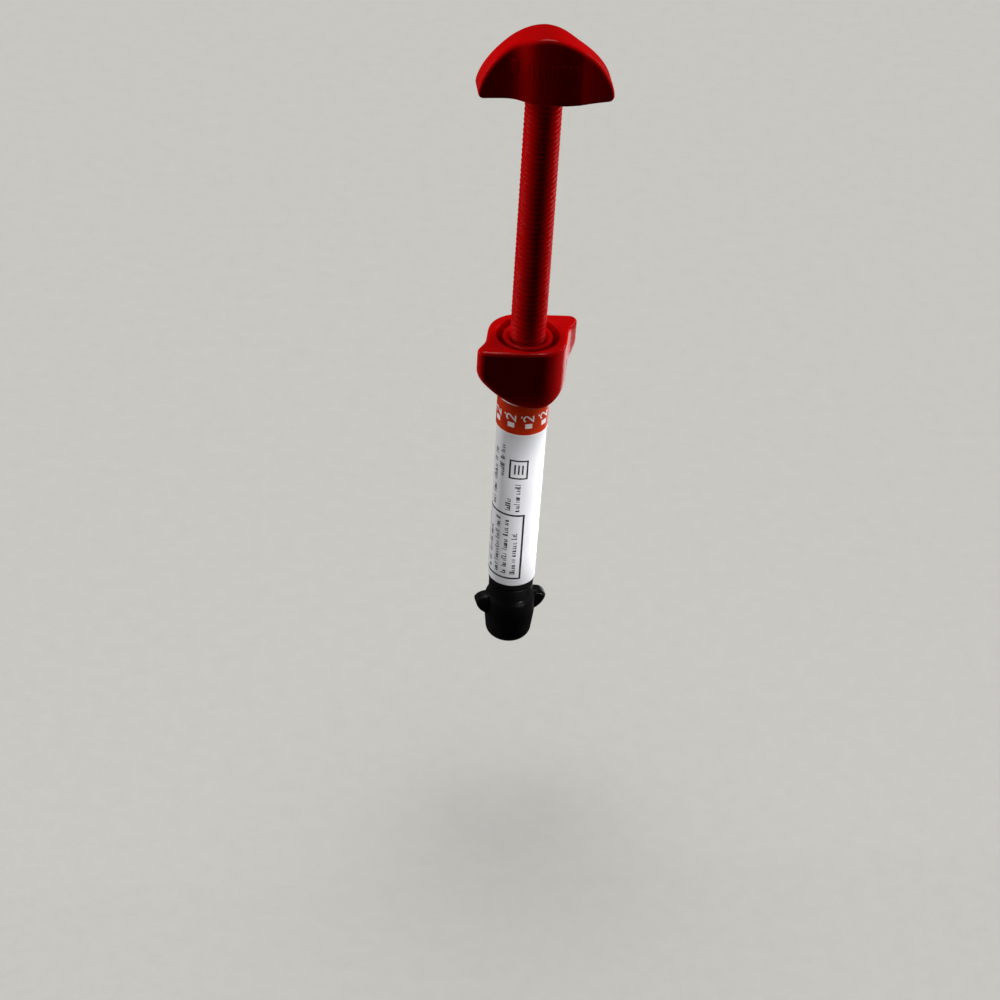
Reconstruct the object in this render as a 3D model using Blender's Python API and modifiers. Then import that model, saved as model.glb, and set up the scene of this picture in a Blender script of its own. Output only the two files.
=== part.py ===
"""A screw-plunger syringe for dental composite paste.

Metres, +Z up the syringe towards the thumb knob. The origin is on the barrel's axis at the lowest
point of the finger collar, which is what a rack holds the syringe by. Sizes below are in
millimetres, and MM turns them into metres where a mesh is made.
"""

import math

import bmesh
import bpy

MM = 0.001

# Running and seating clearances
RUNNING = 0.06
SEAT = 0.15

# Plunger screw: a right-hand V thread
LEAD = 1.07
THREAD_CREST = 3.50
THREAD_ROOT = 3.08
THREAD_PLAY = 0.15
THREAD_SEGMENTS = 16
SPIGOT_RADIUS = 2.0
SPIGOT_LENGTH = 6.5
SHANK_CLEAR = 3.8  # beyond the crests, so that the shank's blank leaves the thread whole
FOOT_CHAMFER = (0.6, 0.5)  # radial and axial, where the thread starts
BALL_RADIUS = 2.3
BALL_NECK = 1.5

# Thumb knob: a half moon with an S-shaped plan
KNOB_SEAT = 65.5
KNOB_HEIGHT = 12.4
KNOB_HALF_WIDTH = 12.4
KNOB_EDGE = 1.0
KNOB_DRAFT = 0.14  # lean of each face towards the middle, per millimetre of height
KNOB_ROUNDING = 0.7
KNOB_STATIONS = 24
MOON_STEPS = 32

# Finger collar: two finger wings with half-moon undersides
COLLAR_HEIGHT = 13.0
COLLAR_HALF_WIDTH = 11.6
COLLAR_HALF_DEPTH = 8.0
COLLAR_TIP_DEPTH = 6.4
COLLAR_BORE = 6.15
COLLAR_THROAT = 5.25
COLLAR_SHOULDER = 3.0
COLLAR_ROUNDING = 0.6
UNDERSIDE_RADIUS = 8.5  # of the parabola's curvature at its lowest point
UNDERSIDE_REACH = 12.5
UNDERSIDE_TURN = math.radians(9.3)

# Thread nut, clamped in the collar above the barrel's flange
NUT_TOP = 12.7
NUT_FLANGE_TOP = 8.6
NUT_NECK = 4.9
NUT_MOUTH = 4.15
NUT_CHAMFER = 0.9

# Barrel
BARREL_TOP_RADIUS = 4.86
BARREL_END_RADIUS = 4.64
BARREL_BORE = 3.9
BARREL_FLANGE = 6.0
BARREL_FLANGE_THICKNESS = 1.5
BARREL_END = -47.2
BORE_END = -45.6
BORE_CONE = 0.6
NOZZLE_RADIUS = 2.2
NOZZLE_BORE = 1.1
NOZZLE_LENGTH = 7.0

# Stickers round the barrel
STICKER_GAP = 0.05
STICKER_THICKNESS = 0.12
LABEL_TOP = -0.4
LABEL_END = -45.6
BAND_TOP = -0.8
BAND_END = -7.8

# Piston and paste
PISTON_FRONT = -2.2
PISTON_LENGTH = 6.0
PISTON_BACK_CHAMFER = 0.4
PISTON_FRONT_CHAMFER = 0.6
BALL_CENTRE = PISTON_FRONT + 3.2
SCREW_FOOT = PISTON_FRONT + PISTON_LENGTH + SEAT

# Nozzle cap
CAP_END = -61.5
CAP_FOOT = 2.6  # radius of the flat end
CAP_NECK = 4.55
CAP_SHOULDER = 5.1
CAP_BODY = 5.2
CAP_BODY_END = -55.2
CAP_TAPER = 4.75
CAP_TAPER_END = -59.2
CAP_WING_TOP = -50.6
CAP_WING_SPAN = 7.4
CAP_WING_DEPTH = 5.6
CAP_WING_RISE = 3.4  # of the wing's lower edge from its middle to its tip
CAP_WING_CORNER = 1.0
CAP_WING_THICKNESS = 3.0
CAP_WING_ROUNDING = 0.7
CAP_WING_TURN = math.radians(7.5)
CAP_PLUG_RADIUS = 0.95
CAP_PLUG_TOP = BARREL_END - 4.0

ROUND = 32  # sides of a round piece
OVERRUN = 1.0  # of a cutter past the faces that it cuts
BALL_ARC = [math.radians(angle) for angle in range(45, -90, -15)]


def clear_scene():
    for obj in list(bpy.data.objects):
        bpy.data.objects.remove(obj, do_unlink=True)


def collection(name):
    made = bpy.data.collections.new(name)
    bpy.context.scene.collection.children.link(made)
    return made


def plastic(name, color, roughness):
    """A Principled material of one colour."""
    made = bpy.data.materials.new(name)
    made.use_nodes = True
    shader = made.node_tree.nodes["Principled BSDF"]
    shader.inputs["Base Color"].default_value = (*color, 1)
    shader.inputs["Roughness"].default_value = roughness
    shader.inputs["Metallic"].default_value = 0
    return made


def add(name, bm, group, finish=None):
    """Put a finished bmesh in the scene as an object of the group."""
    mesh = bpy.data.meshes.new(name)
    bm.to_mesh(mesh)
    bm.free()
    mesh.shade_smooth()
    mesh.set_sharp_from_angle(angle=math.radians(35))
    obj = bpy.data.objects.new(name, mesh)
    group.objects.link(obj)
    if finish:
        mesh.materials.append(finish)
    if group is CUTTERS:
        obj.hide_render = True
        obj.display_type = "WIRE"
    return obj


def turned(name, profile, group, finish=None, sides=ROUND):
    """Turn (radius, height) points about Z. They run down the outside, and close into a ring off the axis."""
    bm = bmesh.new()
    points = [bm.verts.new((r * MM, 0, z * MM)) for r, z in profile]
    for above, below in zip(points, points[1:]):
        bm.edges.new((above, below))
    if profile[0][0] > 0:
        bm.edges.new((points[-1], points[0]))
    obj = add(name, bm, group, finish)
    screw = obj.modifiers.new("turn", "SCREW")
    screw.angle = 2 * math.pi
    screw.steps = screw.render_steps = sides
    screw.use_merge_vertices = True
    screw.merge_threshold = 1e-6
    return obj


def boolean(obj, operation, other):
    cut = obj.modifiers.new(operation.lower(), "BOOLEAN")
    cut.operation = operation
    cut.object = other


def rounded(obj, width, segments=2):
    bevel = obj.modifiers.new("round", "BEVEL")
    bevel.width = width * MM
    bevel.segments = segments
    bevel.limit_method = "ANGLE"
    bevel.angle_limit = math.radians(40)


def rounded_outline(corners, steps=5):
    """The outline through (x, y, radius) corners, each rounded by a tangent arc."""
    outline = []
    for i, (x, y, radius) in enumerate(corners):
        before = corners[i - 1]
        after = corners[(i + 1) % len(corners)]
        back = math.atan2(before[1] - y, before[0] - x)
        ahead = math.atan2(after[1] - y, after[0] - x)
        half = ((ahead - back + math.pi) % (2 * math.pi) - math.pi) / 2
        reach = radius / math.sin(abs(half))
        centre = (x + reach * math.cos(back + half), y + reach * math.sin(back + half))
        start = back - math.copysign(math.pi / 2, half)
        sweep = math.copysign(math.pi, half) - 2 * half
        for step in range(steps + 1):
            angle = start - sweep * step / steps
            outline.append((centre[0] + radius * math.cos(angle), centre[1] + radius * math.sin(angle)))
    return outline


def prism(name, outline, low, high, group, finish=None, place=None, top_shift=None):
    """Extrude an (x, y) outline from low to high. top_shift(x, y) moves the upper outline's y, as draft."""
    bm = bmesh.new()
    loops = []
    for level in (low, high):
        loop = []
        for x, y in outline:
            shift = top_shift(x, y) if top_shift and level == high else 0
            point = place(x, y, level) if place else (x, y + shift, level)
            loop.append(bm.verts.new([c * MM for c in point]))
        loops.append(loop)
    bm.faces.new(loops[0])
    bm.faces.new(loops[1])
    for i in range(len(outline)):
        bm.faces.new((loops[0][i - 1], loops[0][i], loops[1][i], loops[1][i - 1]))
    bmesh.ops.recalc_face_normals(bm, faces=bm.faces)
    return add(name, bm, group, finish)


def threaded(name, crest, root, low, high, group, finish=None):
    """A closed body with a helical V thread all along it, a little longer than low to high."""
    first = math.floor(low / LEAD) - 1
    last = math.ceil(high / LEAD) + 1
    bm = bmesh.new()
    points = []
    for tooth in range(first, last):
        points.append(bm.verts.new((root * MM, 0, tooth * LEAD * MM)))
        points.append(bm.verts.new((crest * MM, 0, (tooth + 0.5) * LEAD * MM)))
    edges = [bm.edges.new(pair) for pair in zip(points, points[1:])]
    bmesh.ops.spin(
        bm, geom=points + edges, cent=(0, 0, 0), axis=(0, 0, 1), angle=2 * math.pi,
        dvec=(0, 0, LEAD * MM / THREAD_SEGMENTS), steps=THREAD_SEGMENTS,
    )
    bmesh.ops.remove_doubles(bm, verts=bm.verts, dist=1e-6)
    middle = (low + high) / 2 * MM
    rim = [edge for edge in bm.edges if edge.is_boundary]
    for side in (-1, 1):
        loop = [edge for edge in rim if (edge.verts[0].co.z - middle) * side > 0]
        apex = sum(edge.verts[0].co.z for edge in loop) / len(loop)
        spread = bmesh.ops.extrude_edge_only(bm, edges=loop)["geom"]
        inner = [item for item in spread if isinstance(item, bmesh.types.BMVert)]
        bmesh.ops.pointmerge(bm, verts=inner, merge_co=(0, 0, apex))
    bmesh.ops.recalc_face_normals(bm, faces=bm.faces)
    return add(name, bm, group, finish)


def barrel_radius(z):
    """Outer radius of the barrel, which tapers evenly from the collar to its end."""
    return BARREL_TOP_RADIUS + (BARREL_END_RADIUS - BARREL_TOP_RADIUS) * z / BARREL_END


def make_screw():
    top = KNOB_SEAT + SPIGOT_LENGTH
    bottom = BALL_CENTRE - BALL_RADIUS
    screw = threaded("plunger_screw", THREAD_CREST, THREAD_ROOT, bottom - OVERRUN, top + OVERRUN, PARTS, RED)
    shoulder = KNOB_SEAT - SEAT
    inward, upward = FOOT_CHAMFER
    outline = [(0, top), (SPIGOT_RADIUS, top), (SPIGOT_RADIUS, shoulder), (SHANK_CLEAR, shoulder)]
    outline += [(SHANK_CLEAR, SCREW_FOOT + upward), (SHANK_CLEAR - inward, SCREW_FOOT)]
    outline += [(BALL_NECK, SCREW_FOOT), (BALL_NECK, BALL_CENTRE + math.sqrt(BALL_RADIUS**2 - BALL_NECK**2))]
    outline += [(BALL_RADIUS * math.cos(a), BALL_CENTRE + BALL_RADIUS * math.sin(a)) for a in BALL_ARC]
    outline += [(0, bottom)]
    blank = turned("screw_blank", outline, CUTTERS, sides=THREAD_SEGMENTS)
    boolean(screw, "INTERSECT", blank)


def knob_back(x):
    """Where the knob's back face is at its underside: thick at one side of x, waisted at the other."""
    bulge = 2.6 / (1 + math.exp((x - 4.4) / 0.9))
    shoulder = 0.75 * math.exp(-((x + 3.0) / 4.5) ** 2)
    return 2.15 + bulge + shoulder - 0.16 * max(-6.0 - x, 0)


def make_knob():
    def draft(x, y):
        return -math.copysign(KNOB_DRAFT * (KNOB_HEIGHT + OVERRUN), y)

    def upright(x, y, z):
        return (x, z, KNOB_SEAT + y)

    reach = KNOB_HALF_WIDTH + OVERRUN
    stations = [reach * (2 * i / (KNOB_STATIONS - 1) - 1) for i in range(KNOB_STATIONS)]
    back = [(x, knob_back(x)) for x in stations]
    plan = back + [(-x, -y) for x, y in back]
    top = KNOB_SEAT + KNOB_HEIGHT + OVERRUN
    knob = prism("thumb_knob", plan, KNOB_SEAT, top, PARTS, RED, top_shift=draft)
    moon = [(-KNOB_HALF_WIDTH, -OVERRUN), (KNOB_HALF_WIDTH, -OVERRUN)]
    for i in range(MOON_STEPS + 1):
        x = KNOB_HALF_WIDTH * math.cos(math.pi * i / MOON_STEPS)
        share = (1 - abs(x / KNOB_HALF_WIDTH) ** 1.7) ** 0.6
        moon.append((x, KNOB_EDGE + (KNOB_HEIGHT - KNOB_EDGE) * share))
    outline = prism("knob_moon", moon, -KNOB_HALF_WIDTH, KNOB_HALF_WIDTH, CUTTERS, place=upright)
    boolean(knob, "INTERSECT", outline)
    rounded(knob, KNOB_ROUNDING)
    socket = SPIGOT_RADIUS + SEAT
    depth = KNOB_SEAT + SPIGOT_LENGTH + SEAT
    foot = KNOB_SEAT - OVERRUN
    hole = [(0, depth), (socket, depth), (socket, foot), (0, foot)]
    boolean(knob, "DIFFERENCE", turned("knob_socket", hole, CUTTERS))


def make_collar():
    """The plan is a half turn's symmetry of one wing: a corner, a hollow for the finger, and a round back."""
    cosine, sine = math.cos(UNDERSIDE_TURN), math.sin(UNDERSIDE_TURN)

    def upright(x, y, z):
        return (x * cosine - z * sine, x * sine + z * cosine, y)

    corners = [(-COLLAR_HALF_WIDTH, -COLLAR_TIP_DEPTH, 1.6), (-8.4, -1.8, 6), (-7.5, 2.6, 6)]
    corners += [(-5.8, COLLAR_HALF_DEPTH, 6.2)]
    corners += [(-x, -y, radius) for x, y, radius in corners]
    collar = prism("finger_collar", rounded_outline(corners), 0, COLLAR_HEIGHT, PARTS, RED)
    arch = []
    for i in range(25):
        x = UNDERSIDE_REACH * (i / 12 - 1)
        arch.append((x, x * x / (2 * UNDERSIDE_RADIUS)))
    above = COLLAR_HEIGHT + OVERRUN
    arch += [(UNDERSIDE_REACH, above), (-UNDERSIDE_REACH, above)]
    moon = prism("collar_moon", arch, -UNDERSIDE_REACH, UNDERSIDE_REACH, CUTTERS, place=upright)
    boolean(collar, "INTERSECT", moon)
    rounded(collar, COLLAR_ROUNDING)
    bore = [(0, above), (COLLAR_BORE, above), (COLLAR_BORE, COLLAR_SHOULDER)]
    bore += [(COLLAR_THROAT, COLLAR_SHOULDER), (COLLAR_THROAT, -OVERRUN), (0, -OVERRUN)]
    boolean(collar, "DIFFERENCE", turned("collar_bore", bore, CUTTERS))


def make_nut():
    foot = COLLAR_SHOULDER + SEAT + BARREL_FLANGE_THICKNESS + SEAT
    flange = COLLAR_BORE - SEAT
    outline = [(0, NUT_TOP - NUT_CHAMFER), (THREAD_ROOT, NUT_TOP - NUT_CHAMFER), (NUT_MOUTH, NUT_TOP)]
    outline += [(NUT_NECK, NUT_TOP), (NUT_NECK, NUT_FLANGE_TOP), (flange, NUT_FLANGE_TOP)]
    outline += [(flange, foot), (0, foot)]
    nut = turned("thread_nut", outline, PARTS, RED)
    crest = THREAD_CREST + THREAD_PLAY
    root = THREAD_ROOT + THREAD_PLAY
    boolean(nut, "DIFFERENCE", threaded("nut_thread", crest, root, foot, NUT_TOP, CUTTERS))


def make_barrel():
    seat = COLLAR_SHOULDER + SEAT
    rear = seat + BARREL_FLANGE_THICKNESS
    tip = BARREL_END - NOZZLE_LENGTH
    outline = [(BARREL_BORE, rear), (BARREL_FLANGE, rear), (BARREL_FLANGE, seat)]
    outline += [(barrel_radius(0), seat), (barrel_radius(0), 0), (BARREL_END_RADIUS, BARREL_END)]
    outline += [(NOZZLE_RADIUS, BARREL_END), (NOZZLE_RADIUS, tip), (NOZZLE_BORE, tip)]
    outline += [(NOZZLE_BORE, BORE_END - BORE_CONE), (BARREL_BORE, BORE_END)]
    turned("barrel", outline, PARTS, BLACK)


def make_stickers():
    for name, top, end, layer, finish in (
        ("barrel_label", LABEL_TOP, LABEL_END, 0, PAPER),
        ("shade_band", BAND_TOP, BAND_END, 1, ORANGE),
    ):
        inside = STICKER_GAP + layer * (STICKER_GAP + STICKER_THICKNESS)
        outside = inside + STICKER_THICKNESS
        outline = [(barrel_radius(top) + outside, top), (barrel_radius(end) + outside, end)]
        outline += [(barrel_radius(end) + inside, end), (barrel_radius(top) + inside, top)]
        turned(name, outline, PARTS, finish)


def make_piston():
    radius = BARREL_BORE - RUNNING
    back = PISTON_FRONT + PISTON_LENGTH
    socket = BALL_RADIUS + SEAT
    neck = BALL_NECK + SEAT
    outline = [(0, back), (radius - PISTON_BACK_CHAMFER, back), (radius, back - PISTON_BACK_CHAMFER)]
    outline += [(radius, PISTON_FRONT + PISTON_FRONT_CHAMFER), (radius - PISTON_FRONT_CHAMFER, PISTON_FRONT)]
    outline += [(0, PISTON_FRONT)]
    piston = turned("piston", outline, PARTS, WHITE)
    cavity = [(0, back + OVERRUN), (neck, back + OVERRUN)]
    cavity += [(socket * math.cos(a), BALL_CENTRE + socket * math.sin(a)) for a in BALL_ARC]
    cavity += [(0, BALL_CENTRE - socket)]
    boolean(piston, "DIFFERENCE", turned("piston_socket", cavity, CUTTERS, sides=THREAD_SEGMENTS))


def make_paste():
    radius = BARREL_BORE - RUNNING
    outline = [(0, PISTON_FRONT - SEAT), (radius, PISTON_FRONT - SEAT), (radius, BORE_END + SEAT)]
    outline += [(0, BORE_END + SEAT)]
    turned("composite_paste", outline, PARTS, CREAM)


def make_cap():
    """A cap with a rounded end, two thumb wings, and inside it a sleeve and a plug for the nozzle."""
    cosine, sine = math.cos(CAP_WING_TURN), math.sin(CAP_WING_TURN)

    def upright(x, y, z):
        return (x * cosine - z * sine, x * sine + z * cosine, CAP_WING_TOP + y)

    top = BARREL_END - SEAT
    outline = [(0, top), (CAP_NECK, top), (CAP_NECK, CAP_WING_TOP + 0.3), (CAP_SHOULDER, CAP_WING_TOP - 0.6)]
    outline += [(CAP_BODY, CAP_BODY_END)]
    for i in range(5):
        angle = math.pi / 2 * i / 4
        radius = CAP_FOOT + (CAP_TAPER - CAP_FOOT) * math.cos(angle)
        outline.append((radius, CAP_TAPER_END + (CAP_END - CAP_TAPER_END) * math.sin(angle)))
    outline += [(0, CAP_END)]
    cap = turned("nozzle_cap", outline, PARTS, BLACK)
    flat = CAP_WING_SPAN - CAP_WING_CORNER
    wings = [(-flat, 0), (-CAP_WING_SPAN, -CAP_WING_CORNER)]
    for i in range(1, 14):
        share = i / 7 - 1
        wings.append((CAP_WING_SPAN * share, -CAP_WING_DEPTH + CAP_WING_RISE * share**2))
    wings += [(CAP_WING_SPAN, -CAP_WING_CORNER), (flat, 0)]
    half = CAP_WING_THICKNESS / 2
    wing = prism("cap_wings", wings, -half, half, CUTTERS, place=upright)
    rounded(wing, CAP_WING_ROUNDING)
    boolean(cap, "UNION", wing)
    tip = BARREL_END - NOZZLE_LENGTH - SEAT
    sleeve = NOZZLE_RADIUS + SEAT
    above = top + OVERRUN
    bore = [(0, above), (sleeve, above), (sleeve, tip), (CAP_PLUG_RADIUS, tip)]
    bore += [(CAP_PLUG_RADIUS, CAP_PLUG_TOP), (0, CAP_PLUG_TOP)]
    boolean(cap, "DIFFERENCE", turned("cap_hollow", bore, CUTTERS))


clear_scene()
PARTS = collection("dental_composite_syringe")
CUTTERS = collection("cutters")
RED = plastic("red_plastic", (0.42, 0.004, 0.004), 0.22)
BLACK = plastic("black_plastic", (0.008, 0.008, 0.009), 0.35)
PAPER = plastic("label_paper", (0.72, 0.72, 0.75), 0.45)
ORANGE = plastic("band_paper", (0.36, 0.05, 0.012), 0.4)
WHITE = plastic("piston_plastic", (0.75, 0.75, 0.72), 0.4)
CREAM = plastic("paste", (0.78, 0.66, 0.48), 0.5)

make_screw()
make_knob()
make_collar()
make_nut()
make_barrel()
make_stickers()
make_piston()
make_paste()
make_cap()
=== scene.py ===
"""The looks of a screw-plunger composite syringe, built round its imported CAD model.

Sizes are in millimetres, and MM turns them into metres where a mesh is made. Print is laid out on
the barrel in (u, v): u runs round the barrel in degrees from the side that faces the camera, growing
to the camera's right, and v is the height.
"""

import math
import random

import bmesh
import bpy
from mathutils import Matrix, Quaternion, Vector


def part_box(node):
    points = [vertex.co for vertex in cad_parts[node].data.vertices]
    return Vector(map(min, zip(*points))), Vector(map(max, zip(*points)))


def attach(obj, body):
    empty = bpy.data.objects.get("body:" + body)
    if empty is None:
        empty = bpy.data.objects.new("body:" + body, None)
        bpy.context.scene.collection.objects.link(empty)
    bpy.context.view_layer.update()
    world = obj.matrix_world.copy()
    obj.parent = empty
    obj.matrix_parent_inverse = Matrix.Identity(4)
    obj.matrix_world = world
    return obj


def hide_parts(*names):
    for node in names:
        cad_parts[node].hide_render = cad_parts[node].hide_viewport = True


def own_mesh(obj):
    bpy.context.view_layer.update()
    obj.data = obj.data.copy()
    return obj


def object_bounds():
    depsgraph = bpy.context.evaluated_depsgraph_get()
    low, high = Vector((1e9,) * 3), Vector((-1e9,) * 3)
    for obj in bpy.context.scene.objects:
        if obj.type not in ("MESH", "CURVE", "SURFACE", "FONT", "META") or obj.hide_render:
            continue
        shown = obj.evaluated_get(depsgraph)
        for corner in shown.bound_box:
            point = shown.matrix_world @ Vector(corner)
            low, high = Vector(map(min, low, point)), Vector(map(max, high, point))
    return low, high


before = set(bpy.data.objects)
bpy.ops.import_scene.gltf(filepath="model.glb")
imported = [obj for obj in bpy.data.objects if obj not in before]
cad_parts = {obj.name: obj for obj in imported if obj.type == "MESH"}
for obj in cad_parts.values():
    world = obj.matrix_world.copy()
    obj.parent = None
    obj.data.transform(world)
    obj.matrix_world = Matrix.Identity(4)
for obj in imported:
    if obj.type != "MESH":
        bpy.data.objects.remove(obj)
cad_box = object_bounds()

MM = 0.001


def span(node):
    """Lowest and highest corner of a CAD node, in millimetres."""
    low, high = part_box(node)
    return low / MM, high / MM


knob_low, knob_high = span("thumb_knob")
screw_low = span("plunger_screw")[0]
collar_high = span("finger_collar")[1]
nut_low, nut_high = span("thread_nut")
barrel_low, barrel_high = span("barrel")
label_low, label_high = span("barrel_label")
band_low, band_high = span("shade_band")
cap_low, cap_high = span("nozzle_cap")
paste_low, paste_high = span("composite_paste")

# Plunger screw
LEAD = 1.07
THREAD_CREST = 3.50
THREAD_ROOT = 3.08
THREAD_PLAY = 0.15
THREAD_SIDES = 60
THREAD_STEPS = 8  # points down one turn's profile
BALL_RADIUS = 2.3
BALL_NECK = 1.5
BALL_CENTRE = screw_low.z + BALL_RADIUS
SCREW_FOOT = BALL_CENTRE + 2.95

# Thumb knob
KNOB_SEAT = knob_low.z
KNOB_HEIGHT = knob_high.z - knob_low.z
KNOB_HALF_WIDTH = knob_high.x
KNOB_CORNER = 1.0
KNOB_DRAFT = 0.14  # lean of each face towards the middle, per millimetre of height
KNOB_WAIST = 2.15
KNOB_BULGE = 2.6
KNOB_SHOULDER = 0.75
KNOB_FRONT_ROUNDING = 0.7
KNOB_FOOT_ROUNDING = 0.45
KNOB_BACK_ROUNDING = 0.7
RELIEF_LOW = 70.6
RELIEF_HIGH = 73.1
RELIEF_LEFT = -6.6
RELIEF_RIGHT = 5.6
RELIEF_GAP = 0.45
RELIEF_RISE = 0.06
RELIEF_SUNK = 0.3

# Finger collar
COLLAR_TOP = collar_high.z
COLLAR_HALF_WIDTH = 11.6
COLLAR_HALF_DEPTH = 8.0
COLLAR_TIP_DEPTH = 6.4
COLLAR_BORE = 6.15
COLLAR_THROAT = 5.25
COLLAR_SHOULDER = 3.0
COLLAR_ROUNDING = 0.8
COLLAR_FOOT_ROUNDING = 0.9
UNDERSIDE_RADIUS = 8.5
UNDERSIDE_TURN = math.radians(9.3)
BORE_CHAMFER = 0.25

# Thread nut
NUT_TOP = nut_high.z
NUT_FOOT = nut_low.z
NUT_FLANGE = nut_high.x
NUT_FLANGE_TOP = 8.6
NUT_NECK = 4.9
NUT_MOUTH = 4.15
NUT_CHAMFER = 0.9

# Barrel
BARREL_REAR = barrel_high.z
BARREL_FLANGE = barrel_high.x
BARREL_SEAT = 3.15
BARREL_TOP_RADIUS = 4.86
BARREL_END_RADIUS = 4.64
BARREL_END = -47.2
BARREL_BORE = 3.9
BORE_END = -45.6
NOZZLE_RADIUS = 2.2
NOZZLE_BORE = 1.1
NOZZLE_TIP = barrel_low.z

# Stickers and print
STICKER_GAP = 0.05
STICKER_THICKNESS = 0.12
LABEL_OVERLAP = 14
LABEL_SEAM = 118
INK_RISE = 0.02
FACING = -99.0  # angle about +Z of the side that faces the camera, where u is 0

# Nozzle cap
CAP_TOP = cap_high.z
CAP_END = cap_low.z
CAP_FOOT = 2.6
CAP_NECK = 4.55
CAP_SHOULDER = 5.1
CAP_BODY = 5.2
CAP_BODY_END = -55.2
CAP_TAPER = 4.75
CAP_TAPER_END = -59.2
CAP_WING_TOP = -50.6
CAP_WING_SPAN = 7.4
CAP_WING_DEPTH = 5.6
CAP_WING_THICKNESS = 3.0
CAP_WING_TURN = math.radians(7.5)
CAP_WING_ROUNDING = 0.7
CAP_PLUG_RADIUS = 0.95
CAP_SLEEVE = 2.35

ROUND = 128  # sides of a round piece


# ---------------------------------------------------------------- materials


def node_of(tree, kind, **values):
    made = tree.nodes.new(kind)
    for key, value in values.items():
        if key in made.inputs:
            made.inputs[key].default_value = value
        else:
            setattr(made, key, value)
    return made


def noise(tree, scale, detail=2.0, stretch=(1, 1, 1)):
    """Noise over the object's own coordinates, with scale in features per millimetre."""
    place = tree.nodes.new("ShaderNodeTexCoord")
    mapping = node_of(tree, "ShaderNodeMapping")
    mapping.inputs["Scale"].default_value = [scale * s / MM for s in stretch]
    made = node_of(tree, "ShaderNodeTexNoise", Scale=1.0, Detail=detail)
    tree.links.new(place.outputs["Object"], mapping.inputs["Vector"])
    tree.links.new(mapping.outputs["Vector"], made.inputs["Vector"])
    return made.outputs["Fac"]


def ranged(tree, value, low, high, start=0.3, end=0.7):
    made = node_of(tree, "ShaderNodeMapRange")
    made.inputs["From Min"].default_value = start
    made.inputs["From Max"].default_value = end
    made.inputs["To Min"].default_value = low
    made.inputs["To Max"].default_value = high
    tree.links.new(value, made.inputs["Value"])
    return made.outputs["Result"]


def finish(name, base, tint, roughness, relief=0.004, grain=3.0, gloss=0.5, stretch=(1, 1, 1)):
    """Two close colours that drift into each other, a roughness that varies, and a fine surface grain."""
    made = bpy.data.materials.new(name)
    made.use_nodes = True
    tree = made.node_tree
    shader = tree.nodes["Principled BSDF"]
    shader.inputs["IOR"].default_value = 1.5
    shader.inputs["Specular IOR Level"].default_value = gloss
    mix = node_of(tree, "ShaderNodeMix", data_type="RGBA")
    mix.inputs[6].default_value = (*base, 1)
    mix.inputs[7].default_value = (*tint, 1)
    tree.links.new(ranged(tree, noise(tree, 0.25, 3.0), 0, 1), mix.inputs[0])
    tree.links.new(mix.outputs[2], shader.inputs["Base Color"])
    low, high = roughness
    tree.links.new(ranged(tree, noise(tree, 0.9, 4.0, stretch), low, high), shader.inputs["Roughness"])
    bump = node_of(tree, "ShaderNodeBump", Strength=1.0, Distance=relief * MM)
    tree.links.new(noise(tree, grain, 3.0, stretch), bump.inputs["Height"])
    tree.links.new(bump.outputs["Normal"], shader.inputs["Normal"])
    return made


RED = finish(
    "red_plastic", (0.50, 0.0008, 0.0010), (0.44, 0.0006, 0.0014), (0.16, 0.26), 0.002, 2.2, gloss=0.14
)
BLACK = finish(
    "black_plastic", (0.004, 0.004, 0.0045), (0.007, 0.007, 0.007), (0.28, 0.42), 0.006, 3.5, gloss=0.2
)
PAPER = finish(
    "label_film", (0.66, 0.66, 0.69), (0.62, 0.62, 0.64), (0.30, 0.42), 0.003, 5.0, stretch=(1, 1, 0.2)
)
ORANGE = finish("band_film", (0.50, 0.036, 0.004), (0.36, 0.012, 0.003), (0.20, 0.30), 0.003, 5.0, gloss=0.15)
INK = finish("black_ink", (0.006, 0.006, 0.008), (0.012, 0.011, 0.012), (0.35, 0.5), 0.002, 8.0)
WHITE_INK = finish("white_ink", (0.78, 0.74, 0.72), (0.70, 0.66, 0.65), (0.3, 0.42), 0.002, 8.0)
PISTON = finish("piston_plastic", (0.75, 0.75, 0.72), (0.70, 0.70, 0.68), (0.35, 0.45), 0.004, 3.0)
PASTE = finish("composite_paste", (0.78, 0.66, 0.48), (0.72, 0.60, 0.42), (0.4, 0.6), 0.01, 2.0)


# ---------------------------------------------------------------- mesh helpers


def object_of(name, mesh, material, sharp=40):
    mesh.materials.clear()
    mesh.materials.append(material)
    mesh.shade_smooth()
    mesh.set_sharp_from_angle(angle=math.radians(sharp))
    made = bpy.data.objects.new(name, mesh)
    bpy.context.scene.collection.objects.link(made)
    return made


def closed(name, points, faces, material, sharp=40):
    """An object from points in millimetres, with coinciding points made one and its faces turned outwards."""
    bm = bmesh.new()
    verts = [bm.verts.new([c * MM for c in point]) for point in points]
    for face in faces:
        bm.faces.new([verts[i] for i in face])
    bmesh.ops.remove_doubles(bm, verts=bm.verts, dist=1e-8)
    bmesh.ops.recalc_face_normals(bm, faces=bm.faces)
    mesh = bpy.data.meshes.new(name)
    bm.to_mesh(mesh)
    bm.free()
    return object_of(name, mesh, material, sharp)


def skinned(name, rings, material, sharp=40):
    """Skin closed rings of equal length, one after the other, and the last to the first."""
    points = [point for ring in rings for point in ring]
    count = len(rings[0])
    faces = []
    for k in range(len(rings)):
        here, there = k * count, (k + 1) % len(rings) * count
        for i in range(count):
            j = (i + 1) % count
            faces.append((here + i, here + j, there + j, there + i))
    return closed(name, points, faces, material, sharp)


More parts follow.
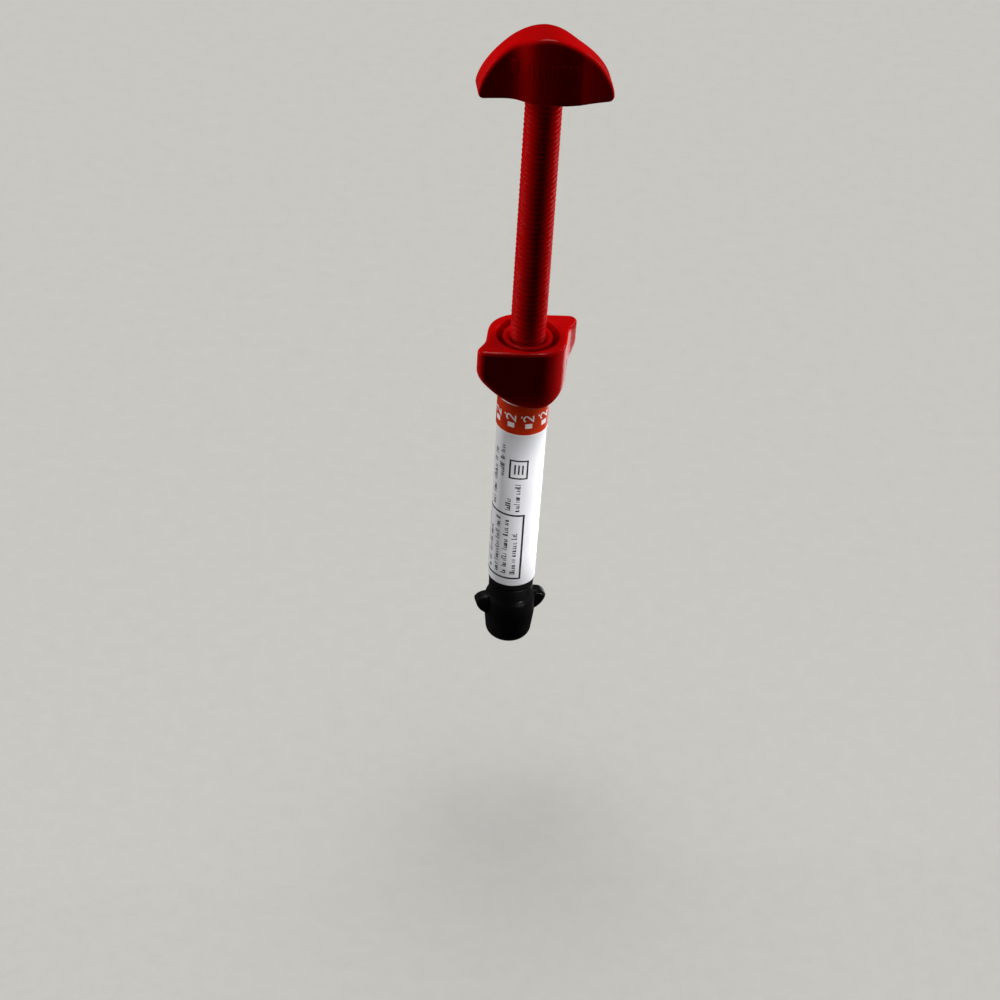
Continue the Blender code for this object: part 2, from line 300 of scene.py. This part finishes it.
def turned(name, corners, material, sides=ROUND, steps=5):
    """Turn a closed outline of (radius, height, rounding) corners about Z."""
    rings = []
    for r, z in rounded_outline(corners, steps):
        angles = [2 * math.pi * i / sides for i in range(sides)]
        rings.append([(r * math.cos(a), r * math.sin(a), z) for a in angles])
    return skinned(name, rings, material)


def rounded_outline(corners, steps):
    """The closed outline through (x, y, radius) corners, each rounded by a tangent arc.
    A corner without a radius stays sharp."""
    outline = []
    for i, (x, y, *rounding) in enumerate(corners):
        radius = rounding[0] if rounding else 0
        if not radius:
            outline.append((x, y))
            continue
        before = corners[i - 1]
        after = corners[(i + 1) % len(corners)]
        back = math.atan2(before[1] - y, before[0] - x)
        ahead = math.atan2(after[1] - y, after[0] - x)
        half = ((ahead - back + math.pi) % (2 * math.pi) - math.pi) / 2
        reach = radius / math.sin(abs(half))
        centre = (x + reach * math.cos(back + half), y + reach * math.sin(back + half))
        start = back - math.copysign(math.pi / 2, half)
        sweep = math.copysign(math.pi, half) - 2 * half
        for step in range(steps + 1):
            angle = start - sweep * step / steps
            outline.append((centre[0] + radius * math.cos(angle), centre[1] + radius * math.sin(angle)))
    return outline


def resampled(loop, count):
    """The closed loop's points again, count of them, evenly spaced along it."""
    lengths = [math.dist(a, b) for a, b in zip(loop, loop[1:] + loop[:1])]
    pitch = sum(lengths) / count
    made, travelled, target = [], 0.0, 0.0
    for (ax, ay), (bx, by), length in zip(loop, loop[1:] + loop[:1], lengths):
        while target < travelled + length - 1e-9 and len(made) < count:
            t = (target - travelled) / length
            made.append((ax + (bx - ax) * t, ay + (by - ay) * t))
            target += pitch
        travelled += length
    return made


def inward_normals(loop):
    """The unit normal at each point of a closed loop, to its inside."""
    area = sum(a[0] * b[1] - b[0] * a[1] for a, b in zip(loop, loop[1:] + loop[:1]))
    side = math.copysign(1, area)
    normals = []
    for before, after in zip(loop[-1:] + loop[:-1], loop[1:] + loop[:1]):
        dx, dy = after[0] - before[0], after[1] - before[1]
        length = math.hypot(dx, dy)
        normals.append((-dy / length * side, dx / length * side))
    return normals


def quarter(steps):
    """Angles from 0 to a right angle, for the rounding of an edge."""
    return [math.pi / 2 * k / steps for k in range(steps + 1)]


def rounded_moon(name, half_width, upper, lower, front, back, roundings, material, place=None):
    """A closed plate. Its outline lies between lower(x) and upper(x), which meet at both ends. Its faces are
    at y = front(x, z) and back(x, z), and roundings has the radius of each one's edge as a function of z.
    place(x, y, z) moves each point into position."""
    columns, rows = 96, 14
    xs = [-half_width * math.cos(math.pi * i / columns) for i in range(columns + 1)]
    loop = [(x, upper(x)) for x in xs] + [(x, lower(x)) for x in xs[-2:0:-1]]
    normals = inward_normals(loop)

    def ring(face, side, rounding, angle):
        made = []
        for (x, z), (nx, nz) in zip(loop, normals):
            inset = rounding(z) * (1 - math.cos(angle))
            depth = rounding(z) * (1 - math.sin(angle))
            px, pz = x + nx * inset, z + nz * inset
            made.append((px, face(px, pz) - side * depth, pz))
        return made

    front_rings = [ring(front, -1, roundings[0], angle) for angle in reversed(quarter(6))]
    back_rings = [ring(back, 1, roundings[1], angle) for angle in quarter(6)]
    between = []
    for t in (0.25, 0.5, 0.75):
        pairs = zip(front_rings[-1], back_rings[0])
        between.append([tuple(a + (b - a) * t for a, b in zip(p, q)) for p, q in pairs])
    rings = front_rings + between + back_rings
    count = len(loop)
    points = [point for one in rings for point in one]
    faces = []
    for k in range(len(rings) - 1):
        for i in range(count):
            j = (i + 1) % count
            faces.append((k * count + i, k * count + j, (k + 1) * count + j, (k + 1) * count + i))
    for start, face in ((0, front), ((len(rings) - 1) * count, back)):
        grid = [[start] * (rows + 1)]
        for i in range(1, columns):
            top, bottom = start + i, start + count - i
            column = [top]
            for j in range(1, rows):
                t = j / rows
                x = points[top][0] + (points[bottom][0] - points[top][0]) * t
                z = points[top][2] + (points[bottom][2] - points[top][2]) * t
                column.append(len(points))
                points.append((x, face(x, z), z))
            grid.append(column + [bottom])
        grid.append([start + columns] * (rows + 1))
        for left, right in zip(grid, grid[1:]):
            for j in range(rows):
                corners = (left[j], left[j + 1], right[j + 1], right[j])
                faces.append(tuple(dict.fromkeys(corners)))
    if place:
        points = [place(*point) for point in points]
    return closed(name, points, faces, material, sharp=60)


def threaded(name, crest, root, low, high, material):
    """A closed body with a helical thread all along it, a little longer than low to high."""
    first = math.floor(low / LEAD) - 1
    last = math.ceil(high / LEAD) + 1
    bm = bmesh.new()
    points = []
    for step in range((last - first) * THREAD_STEPS + 1):
        phase = step / THREAD_STEPS
        height = 0.5 - 0.5 * math.tanh(1.2 * math.cos(2 * math.pi * phase)) / math.tanh(1.2)
        radius = root + (crest - root) * height
        points.append(bm.verts.new((radius * MM, 0, (first + phase) * LEAD * MM)))
    edges = [bm.edges.new(pair) for pair in zip(points, points[1:])]
    bmesh.ops.spin(
        bm, geom=points + edges, cent=(0, 0, 0), axis=(0, 0, 1), angle=2 * math.pi,
        dvec=(0, 0, LEAD * MM / THREAD_SIDES), steps=THREAD_SIDES,
    )
    bmesh.ops.remove_doubles(bm, verts=bm.verts, dist=2e-6)
    middle = (low + high) / 2 * MM
    rim = [edge for edge in bm.edges if edge.is_boundary]
    for side in (-1, 1):
        loop = [edge for edge in rim if (edge.verts[0].co.z - middle) * side > 0]
        apex = sum(edge.verts[0].co.z for edge in loop) / len(loop)
        spread = bmesh.ops.extrude_edge_only(bm, edges=loop)["geom"]
        inner = [item for item in spread if isinstance(item, bmesh.types.BMVert)]
        bmesh.ops.pointmerge(bm, verts=inner, merge_co=(0, 0, apex))
    bmesh.ops.recalc_face_normals(bm, faces=bm.faces)
    mesh = bpy.data.meshes.new(name)
    bm.to_mesh(mesh)
    bm.free()
    return object_of(name, mesh, material)


def combined(piece, operation, tool, sharp=40):
    """Join or cut piece with tool, which goes away."""
    change = piece.modifiers.new("combine", "BOOLEAN")
    change.operation = operation
    change.solver = "EXACT"
    change.object = tool
    graph = bpy.context.evaluated_depsgraph_get()
    mesh = bpy.data.meshes.new_from_object(piece.evaluated_get(graph))
    piece.modifiers.clear()
    piece.data = mesh
    material = piece.data.materials[0]
    mesh.materials.clear()
    mesh.materials.append(material)
    mesh.polygons.foreach_set("material_index", [0] * len(mesh.polygons))
    mesh.shade_smooth()
    mesh.set_sharp_from_angle(angle=math.radians(sharp))
    bpy.data.objects.remove(tool, do_unlink=True)
    return piece


def settle(piece, body, slot, *nodes):
    """Fix a finished piece to its body and hide the CAD nodes it stands for; slot is not used."""
    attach(piece, body)
    if nodes:
        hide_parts(*nodes)


# ---------------------------------------------------------------- plunger


def make_screw():
    screw = threaded("screw", THREAD_CREST, THREAD_ROOT, screw_low.z - 1, KNOB_SEAT + 1, RED)
    top = KNOB_SEAT + 0.3
    ball_top = BALL_CENTRE + math.sqrt(BALL_RADIUS**2 - BALL_NECK**2)
    outline = [(0, top), (3.8, top), (3.8, SCREW_FOOT + 0.5), (3.2, SCREW_FOOT), (BALL_NECK, SCREW_FOOT)]
    outline.append((BALL_NECK, ball_top))
    for k in range(1, 18):
        angle = math.atan2(ball_top - BALL_CENTRE, BALL_NECK) - k * math.radians(8)
        if angle > -math.pi / 2:
            outline.append((BALL_RADIUS * math.cos(angle), BALL_CENTRE + BALL_RADIUS * math.sin(angle)))
    outline.append((0, BALL_CENTRE - BALL_RADIUS))
    combined(screw, "INTERSECT", turned("screw_blank", outline, RED, sides=THREAD_SIDES))
    settle(screw, "plunger", "red_plastic", "plunger_screw")


def knob_back(x, z):
    """The knob's back face: thick at one side, waisted at the other, and leaning in with height."""
    bulge = KNOB_BULGE / (1 + math.exp((x - 4.4) / 0.9))
    shoulder = KNOB_SHOULDER * math.exp(-(((x + 3.0) / 4.5) ** 2))
    return KNOB_WAIST + bulge + shoulder - 0.16 * max(-6.0 - x, 0) - KNOB_DRAFT * (z - KNOB_SEAT)


def knob_front(x, z):
    return -knob_back(-x, z)


def knob_upper(x):
    share = min(abs(x) / KNOB_HALF_WIDTH, 1)
    return KNOB_SEAT + KNOB_CORNER + (KNOB_HEIGHT - KNOB_CORNER) * (1 - share**1.7) ** 0.6


def knob_lower(x):
    past = max(abs(x) - (KNOB_HALF_WIDTH - KNOB_CORNER), 0)
    return KNOB_SEAT + KNOB_CORNER - math.sqrt(max(KNOB_CORNER**2 - past**2, 0))


def knob_front_rounding(z):
    """Tight along the knob's foot, and full over its top."""
    share = min(max((z - KNOB_SEAT - KNOB_CORNER) / 4, 0), 1)
    return KNOB_FOOT_ROUNDING + (KNOB_FRONT_ROUNDING - KNOB_FOOT_ROUNDING) * share * share * (3 - 2 * share)


def make_knob():
    roundings = (knob_front_rounding, lambda z: KNOB_BACK_ROUNDING)
    knob = rounded_moon(
        "knob", KNOB_HALF_WIDTH, knob_upper, knob_lower, knob_front, knob_back, roundings, RED
    )
    settle(knob, "plunger", "red_plastic", "thumb_knob")


def make_knob_relief():
    """Plain raised marks on the knob's front face."""
    rng = random.Random(5)
    points, faces = [], []
    x = RELIEF_LEFT
    while x < RELIEF_RIGHT:
        width = rng.choice((0.45, 0.9, 1.3, 0.45, 1.3))
        start = len(points)
        for offset in (-RELIEF_RISE, RELIEF_SUNK):
            for z in (RELIEF_LOW, RELIEF_HIGH):
                for px in (x, x + width):
                    points.append((px, knob_front(px, z) + offset, z))
        for face in ((0, 1, 3, 2), (4, 6, 7, 5), (0, 4, 5, 1), (2, 3, 7, 6), (0, 2, 6, 4), (1, 5, 7, 3)):
            faces.append([start + i for i in face])
        x += width + RELIEF_GAP
    relief = closed("knob_relief", points, faces, RED, sharp=30)
    soften = relief.modifiers.new("soften", "BEVEL")
    soften.width = 0.05 * MM
    soften.segments = 2
    settle(relief, "plunger", "red_plastic")


# ---------------------------------------------------------------- collar and nut


def underside(x, y):
    across = x * math.cos(UNDERSIDE_TURN) + y * math.sin(UNDERSIDE_TURN)
    return across**2 / (2 * UNDERSIDE_RADIUS)


def underside_slant(x, y):
    """One over the cosine of the underside's slope."""
    across = x * math.cos(UNDERSIDE_TURN) + y * math.sin(UNDERSIDE_TURN)
    return math.hypot(1, across / UNDERSIDE_RADIUS)


def make_collar():
    corners = [(-COLLAR_HALF_WIDTH, -COLLAR_TIP_DEPTH, 1.6), (-8.4, -1.8, 6), (-7.5, 2.6, 6)]
    corners += [(-5.8, COLLAR_HALF_DEPTH, 6.2)]
    corners += [(-x, -y, radius) for x, y, radius in corners]
    loop = resampled(rounded_outline(corners, 16), 360)
    normals = inward_normals(loop)
    angles = [math.atan2(y, x) for x, y in loop]

    def circle(radius, height=None, lift=0.0):
        made = []
        for angle in angles:
            x, y = radius * math.cos(angle), radius * math.sin(angle)
            made.append((x, y, underside(x, y) + lift if height is None else height))
        return made

    def inset_ring(inset, height):
        made = []
        for (x, y), (nx, ny) in zip(loop, normals):
            px, py = x + nx * inset, y + ny * inset
            made.append((px, py, height(px, py)))
        return made

    top, rounding, foot_rounding = COLLAR_TOP, COLLAR_ROUNDING, COLLAR_FOOT_ROUNDING
    rings = [circle(COLLAR_BORE, top - BORE_CHAMFER), circle(COLLAR_BORE + 0.08, top - 0.08)]
    rings.append(circle(COLLAR_BORE + BORE_CHAMFER, top))
    for angle in reversed(quarter(6)):
        drop = rounding * (1 - math.sin(angle))
        rings.append(inset_ring(rounding * (1 - math.cos(angle)), lambda x, y, drop=drop: top - drop))
    foot = inset_ring(0, lambda x, y: underside(x, y) + foot_rounding * underside_slant(x, y))
    brow = rings[-1]
    for t in (0.2, 0.4, 0.6, 0.8):
        rings.append([(x, y, a + (b - a) * t) for (x, y, a), (_, _, b) in zip(brow, foot)])
    for angle in quarter(6):
        lift = foot_rounding * (1 - math.sin(angle))
        rings.append(inset_ring(
            foot_rounding * (1 - math.cos(angle)),
            lambda x, y, lift=lift: underside(x, y) + lift * underside_slant(x, y),
        ))
    edge, throat = rings[-1], circle(COLLAR_THROAT + 0.2)
    for k in range(1, 10):
        t = k / 10
        between = []
        for (ax, ay, _), (bx, by, _) in zip(edge, throat):
            x, y = ax + (bx - ax) * t, ay + (by - ay) * t
            between.append((x, y, underside(x, y)))
        rings.append(between)
    rings += [throat, circle(COLLAR_THROAT, lift=0.2), circle(COLLAR_THROAT, COLLAR_SHOULDER)]
    rings.append(circle(COLLAR_BORE, COLLAR_SHOULDER))
    collar = skinned("collar", rings, RED, sharp=50)
    settle(collar, "barrel", "red_plastic", "finger_collar")


def make_nut():
    outline = [
        (0, NUT_TOP - NUT_CHAMFER), (THREAD_ROOT, NUT_TOP - NUT_CHAMFER), (NUT_MOUTH, NUT_TOP, 0.15),
        (NUT_NECK, NUT_TOP, 0.3), (NUT_NECK, NUT_FLANGE_TOP, 0.2), (NUT_FLANGE, NUT_FLANGE_TOP, 0.2),
        (NUT_FLANGE, NUT_FOOT, 0.2), (0, NUT_FOOT),
    ]
    nut = turned("nut", outline, RED)
    crest, root = THREAD_CREST + THREAD_PLAY, THREAD_ROOT + THREAD_PLAY
    combined(nut, "DIFFERENCE", threaded("nut_cutter", crest, root, NUT_FOOT, NUT_TOP, RED))
    settle(nut, "barrel", "red_plastic", "thread_nut")


# ---------------------------------------------------------------- barrel and stickers


def barrel_radius(z):
    return BARREL_TOP_RADIUS + (BARREL_END_RADIUS - BARREL_TOP_RADIUS) * z / BARREL_END


def make_barrel():
    outline = [
        (BARREL_BORE, BARREL_REAR, 0.2), (BARREL_FLANGE, BARREL_REAR, 0.3), (BARREL_FLANGE, BARREL_SEAT, 0.3),
        (barrel_radius(0), BARREL_SEAT), (barrel_radius(0), 0), (BARREL_END_RADIUS, BARREL_END, 0.35),
        (NOZZLE_RADIUS, BARREL_END, 0.3), (NOZZLE_RADIUS, NOZZLE_TIP, 0.3), (NOZZLE_BORE, NOZZLE_TIP, 0.1),
        (NOZZLE_BORE, BORE_END - 0.6, 0.2), (BARREL_BORE, BORE_END, 0.2),
    ]
    barrel = turned("barrel_body", outline, BLACK)
    settle(barrel, "barrel", "black_plastic", "barrel")


def wrapped(name, top, end, layer, overlap, seam, material):
    """A sticker wrapped once round the barrel, with its end laid over its start."""
    inside = STICKER_GAP + layer * (STICKER_GAP + STICKER_THICKNESS)
    turns = 180
    sweep = 360 + overlap
    sections = []
    for i in range(turns + 1):
        u = sweep * i / turns
        over = min(max((u - 360 + 8) / 8, 0), 1)
        lift = (STICKER_THICKNESS + 0.02) * over * over * (3 - 2 * over)
        angle = math.radians(FACING + seam + u)
        section = []
        for z, out in ((top, 1), (end, 1), (end, 0), (top, 0)):
            r = barrel_radius(z) + inside + lift + out * STICKER_THICKNESS
            section.append((r * math.cos(angle), r * math.sin(angle), z))
        sections.append(section)
    points = [point for section in sections for point in section]
    faces = [(0, 1, 2, 3), tuple(4 * turns + k for k in (3, 2, 1, 0))]
    for i in range(turns):
        for k in range(4):
            a, b = 4 * i + k, 4 * i + (k + 1) % 4
            faces.append((a, b, b + 4, a + 4))
    return closed(name, points, faces, material, sharp=30)


def make_stickers():
    label = wrapped("label", label_high.z, label_low.z, 0, LABEL_OVERLAP, LABEL_SEAM, PAPER)
    settle(label, "barrel", "label_paper", "barrel_label")
    band = wrapped("band", band_high.z, band_low.z, 1, 6, LABEL_SEAM + 20, ORANGE)
    settle(band, "barrel", "band_paper", "shade_band")


def stroke_stations(path, loop):
    """The path's (u, v) points, with more where it runs round the barrel, and a mitred offset at each."""
    per_degree = math.radians(1) * BARREL_TOP_RADIUS
    flat = [(u * per_degree, v) for u, v in path]
    pairs = list(zip(flat, flat[1:] + flat[:1])) if loop else list(zip(flat, flat[1:]))
    dense = []
    for (ax, ay), (bx, by) in pairs:
        parts = max(1, math.ceil(abs(bx - ax) / 0.35))
        dense += [(ax + (bx - ax) * k / parts, ay + (by - ay) * k / parts) for k in range(parts)]
    if not loop:
        dense.append(flat[-1])
    stations = []
    for i, (x, y) in enumerate(dense):
        before = dense[i - 1] if i or loop else None
        after = dense[(i + 1) % len(dense)] if i + 1 < len(dense) or loop else None
        ways = []
        for a, b in ((before, (x, y)), ((x, y), after)):
            if a and b:
                length = math.dist(a, b)
                ways.append(((b[0] - a[0]) / length, (b[1] - a[1]) / length))
        wx, wy = sum(w[0] for w in ways), sum(w[1] for w in ways)
        length = math.hypot(wx, wy)
        wx, wy = wx / length, wy / length
        mitre = 1 / max(0.4, wx * ways[0][0] + wy * ways[0][1])
        stations.append((x, y, -wy * mitre, wx * mitre))
    return stations


def printed(name, strokes, layer, material):
    """Thin closed strokes on the stickers: each a (path, width, is_loop) with its path in (u, v)."""
    per_degree = math.radians(1) * BARREL_TOP_RADIUS
    outside = (layer + 1) * (STICKER_GAP + STICKER_THICKNESS)
    points, faces = [], []
    for path, width, loop in strokes:
        stations = stroke_stations(path, loop)
        start = len(points)
        for x, y, nx, ny in stations:
            for side, level in ((-1, -0.04), (1, -0.04), (1, INK_RISE), (-1, INK_RISE)):
                u, v = (x + side * nx * width / 2) / per_degree, y + side * ny * width / 2
                angle = math.radians(FACING + u)
                r = barrel_radius(v) + outside + level
                points.append((r * math.cos(angle), r * math.sin(angle), v))
        count = len(stations)
        for i in range(count if loop else count - 1):
            for k in range(4):
                a, b = start + 4 * i + k, start + 4 * i + (k + 1) % 4
                c = start + 4 * ((i + 1) % count)
                faces.append((a, b, c + (k + 1) % 4, c + k))
        if not loop:
            last = start + 4 * (count - 1)
            faces += [tuple(start + k for k in range(4)), tuple(last + k for k in (3, 2, 1, 0))]
    return closed(name, points, faces, material, sharp=20)


def text_row(rng, u, low, high, strokes, tall=13.0):
    """A row of abstract word-like marks that climbs the barrel from low to high, its foot at u."""
    v = low
    while v < high:
        for _ in range(rng.randint(2, 8)):
            if v > high:
                break
            height = tall * rng.choice((0.62, 0.62, 0.66, 1.0))
            strokes.append(([(u, v), (u - height, v)], rng.choice((0.16, 0.2, 0.34)), False))
            if rng.random() < 0.55:
                side = rng.choice((0.1, 0.9))
                strokes.append(([(u - height * side, v), (u - height * side, v + 0.34)], 0.15, False))
            v += rng.choice((0.42, 0.55, 0.68))
        v += 0.6


def make_label_print():
    rng = random.Random(11)
    strokes = []
    frame_right, frame_left = 20.5, -214
    frame_low, frame_high = -43.7, -27.6
    box = [(frame_right, frame_low), (frame_right, frame_high)]
    box += [(frame_left, frame_high), (frame_left, frame_low)]
    strokes.append((box, 0.4, True))
    for row in range(10):
        u = frame_right - 13 - row * 22.5
        text_row(rng, u, frame_low + 1.2, frame_high - (1.0 if row % 3 else 4.5), strokes)
    for row, (low, high) in enumerate(((-26.4, -19.8), (-26.4, -23.2), (-18.3, -11.0), (-26.0, -12.2))):
        text_row(rng, 8 - row * 21.5, low, high, strokes)
    for row in range(5):
        text_row(rng, -100 - row * 22, -25.8, -11.5 - 2.5 * (row % 2), strokes)
    sheet = [(-20, -18.3), (-20, -14.0), (21, -14.0), (21, -18.3)]
    strokes.append((sheet, 0.34, True))
    for u in (-8, 1, 10):
        strokes.append(([(u, -17.3), (u, -15.0)], 0.3, False))
    ink = printed("label_print", strokes, 0, INK)
    settle(ink, "barrel", "label_paper")


def numeral_two(u, v):
    """Strokes of a figure 2 that reads up the barrel, its lower left corner at (u, v)."""
    tall, wide = 23.0, 1.35
    path = []
    for k in range(9):
        angle = math.radians(165 - 200 * k / 8)
        path.append((0.5 + 0.46 * math.cos(angle), 0.74 + 0.24 * math.sin(angle)))
    path += [(0.06, 0.06), (1.0, 0.06)]
    return ([(u - y * tall, v + x * wide) for x, y in path], 0.3, False)


def make_band_print():
    strokes = []
    marks = 9
    for k in range(marks):
        u = -13 + 360 / marks * k
        strokes.append(numeral_two(u, -4.3))
        strokes.append(([(u - 3, -5.35), (u - 19, -5.35)], 1.1, False))
        strokes.append(([(u + 11, -3.2), (u + 14, -3.2)], 0.4, False))
    ink = printed("band_print", strokes, 1, WHITE_INK)
    settle(ink, "barrel", "band_paper")
    # A white ring along the band's lower edge: partly the sticker's white margin, partly a painted highlight
    # of that edge.
    low, high = band_low.z, band_low.z + 0.32
    inside = barrel_radius(low) + 2 * (STICKER_GAP + STICKER_THICKNESS) - 0.04
    outside = inside + 0.04 + INK_RISE
    foot = low - 0.02
    outline = [(inside, high), (outside, high), (outside, foot), (inside, foot)]
    margin_highlight = turned("band_margin_highlight", outline, WHITE_INK)
    settle(margin_highlight, "barrel", "band_paper")


# ---------------------------------------------------------------- nozzle cap


def make_cap():
    outline = [
        (0, CAP_TOP), (CAP_NECK, CAP_TOP, 0.25), (CAP_NECK, CAP_WING_TOP + 0.3, 0.4),
        (CAP_SHOULDER, CAP_WING_TOP - 0.6, 0.4), (CAP_BODY, CAP_BODY_END, 3),
    ]
    for angle in quarter(12):
        radius = CAP_FOOT + (CAP_TAPER - CAP_FOOT) * math.cos(angle)
        outline.append((radius, CAP_TAPER_END + (CAP_END - CAP_TAPER_END) * math.sin(angle)))
    outline.append((0, CAP_END))
    cap = turned("cap", outline, BLACK)
    half = CAP_WING_THICKNESS / 2
    edge = -1.3

    def upper(x):
        return edge * (min(abs(x) / CAP_WING_SPAN, 1) ** 9)

    def lower(x):
        share = min(abs(x) / CAP_WING_SPAN, 1)
        return edge - (CAP_WING_DEPTH + edge) * (1 - share**2.6) ** 0.55

    cosine, sine = math.cos(CAP_WING_TURN), math.sin(CAP_WING_TURN)
    roundings = [lambda z: CAP_WING_ROUNDING] * 2
    wings = rounded_moon(
        "cap_wings", CAP_WING_SPAN, upper, lower, lambda x, z: -half, lambda x, z: half, roundings, BLACK,
        place=lambda x, y, z: (x * cosine - y * sine, x * sine + y * cosine, CAP_WING_TOP + z),
    )
    combined(cap, "UNION", wings)
    tip = NOZZLE_TIP - 0.15
    plug_top = BARREL_END - 4.0
    bore = [
        (0, CAP_TOP + 1), (CAP_SLEEVE, CAP_TOP + 1), (CAP_SLEEVE, tip), (CAP_PLUG_RADIUS, tip),
        (CAP_PLUG_RADIUS, plug_top, 0.2), (0, plug_top),
    ]
    combined(cap, "DIFFERENCE", turned("cap_bore", bore, BLACK))
    settle(cap, "cap", "black_plastic", "nozzle_cap")


# ---------------------------------------------------------------- paste


def make_paste():
    """The paste, a turned body with a mesh of its own; in the real syringe it shortens towards the nozzle as
    the piston advances.
    """
    radius = paste_high.x
    outline = [
        (0, paste_high.z), (radius, paste_high.z, 0.15), (radius, paste_low.z, 0.25), (0, paste_low.z),
    ]
    paste = turned("paste", outline, PASTE)
    settle(paste, "barrel", "paste", "composite_paste")
    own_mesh(paste)


# ---------------------------------------------------------------- studio


def lamp(name, kind, energy, place=(0, 0, 0), target=(0, 0, 0.01), **settings):
    light = bpy.data.lights.new(name, kind)
    light.energy = energy
    for key, value in settings.items():
        setattr(light, key, value)
    made = bpy.data.objects.new(name, light)
    made.location = place
    made.rotation_euler = (Vector(target) - Vector(place)).to_track_quat("-Z", "Y").to_euler()
    made.visible_camera = False
    bpy.context.scene.collection.objects.link(made)
    return made


def make_studio():
    floor_height = cad_box[0].z - 0.040
    bpy.ops.mesh.primitive_plane_add(size=8, location=(0, 0, floor_height))
    floor = bpy.context.object
    floor.name = "studio_floor"
    floor.data.materials.append(
        finish("floor_paint", (0.44, 0.435, 0.41), (0.425, 0.42, 0.395), (0.6, 0.8), 0.01, 0.4)
    )
    floor.visible_glossy = False

    # A black card that the camera doesn't see lies in front of the object and keeps its front dark
    bpy.ops.mesh.primitive_plane_add(size=3, location=(0, -1.53, floor_height + 0.004))
    card = bpy.context.object
    card.name = "studio_card"
    black = finish("card_black", (0.002, 0.002, 0.002), (0.003, 0.003, 0.003), (0.9, 1.0), gloss=0)
    card.data.materials.append(black)
    card.visible_camera = False
    card.visible_shadow = False

    world = bpy.data.worlds.new("studio")
    bpy.context.scene.world = world
    world.use_nodes = True
    tree = world.node_tree
    background = tree.nodes["Background"]
    path = tree.nodes.new("ShaderNodeLightPath")
    seen = tree.nodes.new("ShaderNodeMix")
    seen.data_type = "RGBA"
    seen.inputs[6].default_value = (0.02, 0.02, 0.02, 1)
    seen.inputs[7].default_value = (0.50, 0.495, 0.47, 1)
    tree.links.new(path.outputs["Is Camera Ray"], seen.inputs[0])
    tree.links.new(seen.outputs[2], background.inputs["Color"])

    key = lamp("key_above", "SUN", 1.75, (0.0, 0.25, 1.0), angle=math.radians(34))
    floor_fill = lamp("floor_fill", "SUN", 2.3, (0.0, 0.25, 1.0), angle=math.radians(60))
    edge_left = lamp("edge_left", "AREA", 3.5, (-0.50, 0.19, 0.06), shape="RECTANGLE", size=0.4, size_y=0.5)
    edge_right = lamp("edge_right", "AREA", 5.9, (0.52, 0.20, 0.05), shape="RECTANGLE", size=0.35, size_y=0.5)
    label_middle = Vector((0, 0, (label_low.z + band_low.z) / 2 * MM))
    snoot = lamp(
        "label_snoot", "SPOT", 18.5, (0.40, -0.45, -0.02), label_middle,
        spot_size=math.radians(4.1), spot_blend=0.15, shadow_soft_size=0.01,
    )
    flank_low = lamp(
        "flank_low", "AREA", 0.04, (0.10, 0.11, floor_height + 0.01), (0, 0, 0.01),
        shape="RECTANGLE", size=0.09, size_y=0.10,
    )
    edge_left.visible_glossy = False
    edge_right.visible_glossy = False
    for sun in (key, floor_fill):
        sun.data.cycles.use_multiple_importance_sampling = False  # or the card's outline shows on the floor

    # The floor has a light of its own, and the lamps that shape the object leave it alone
    for lights, state in (((floor_fill,), "INCLUDE"), ((edge_left, edge_right, snoot, flank_low), "EXCLUDE")):
        reach = bpy.data.collections.new("reach_" + state.lower())
        reach.objects.link(floor)
        for entry in reach.collection_objects:
            entry.light_linking.link_state = state
        for light in lights:
            light.light_linking.receiver_collection = reach


def make_camera():
    target = Vector((-0.00328, 0.00049, -0.0275))
    azimuth, elevation = math.radians(-8.575), math.radians(36.777)
    distance = 0.55825
    roll = math.radians(3.693)
    back = Vector((
        math.sin(azimuth) * math.cos(elevation), -math.cos(azimuth) * math.cos(elevation), math.sin(elevation)
    ))
    camera = bpy.data.objects.new("camera", bpy.data.cameras.new("camera"))
    camera.data.sensor_width = 36
    camera.data.lens = 99.36
    camera.location = target + distance * back
    camera.rotation_mode = "QUATERNION"
    camera.rotation_quaternion = (-back).to_track_quat("-Z", "Y") @ Quaternion((0, 0, 1), roll)
    bpy.context.scene.collection.objects.link(camera)
    bpy.context.scene.camera = camera


make_camera()
make_screw()
make_knob()
make_knob_relief()
make_collar()
make_nut()
make_barrel()
make_stickers()
make_label_print()
make_band_print()
make_cap()
make_paste()
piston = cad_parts["piston"]
piston.data.materials.clear()
piston.data.materials.append(PISTON)
make_studio()
bpy.context.scene.view_settings.view_transform = "Standard"
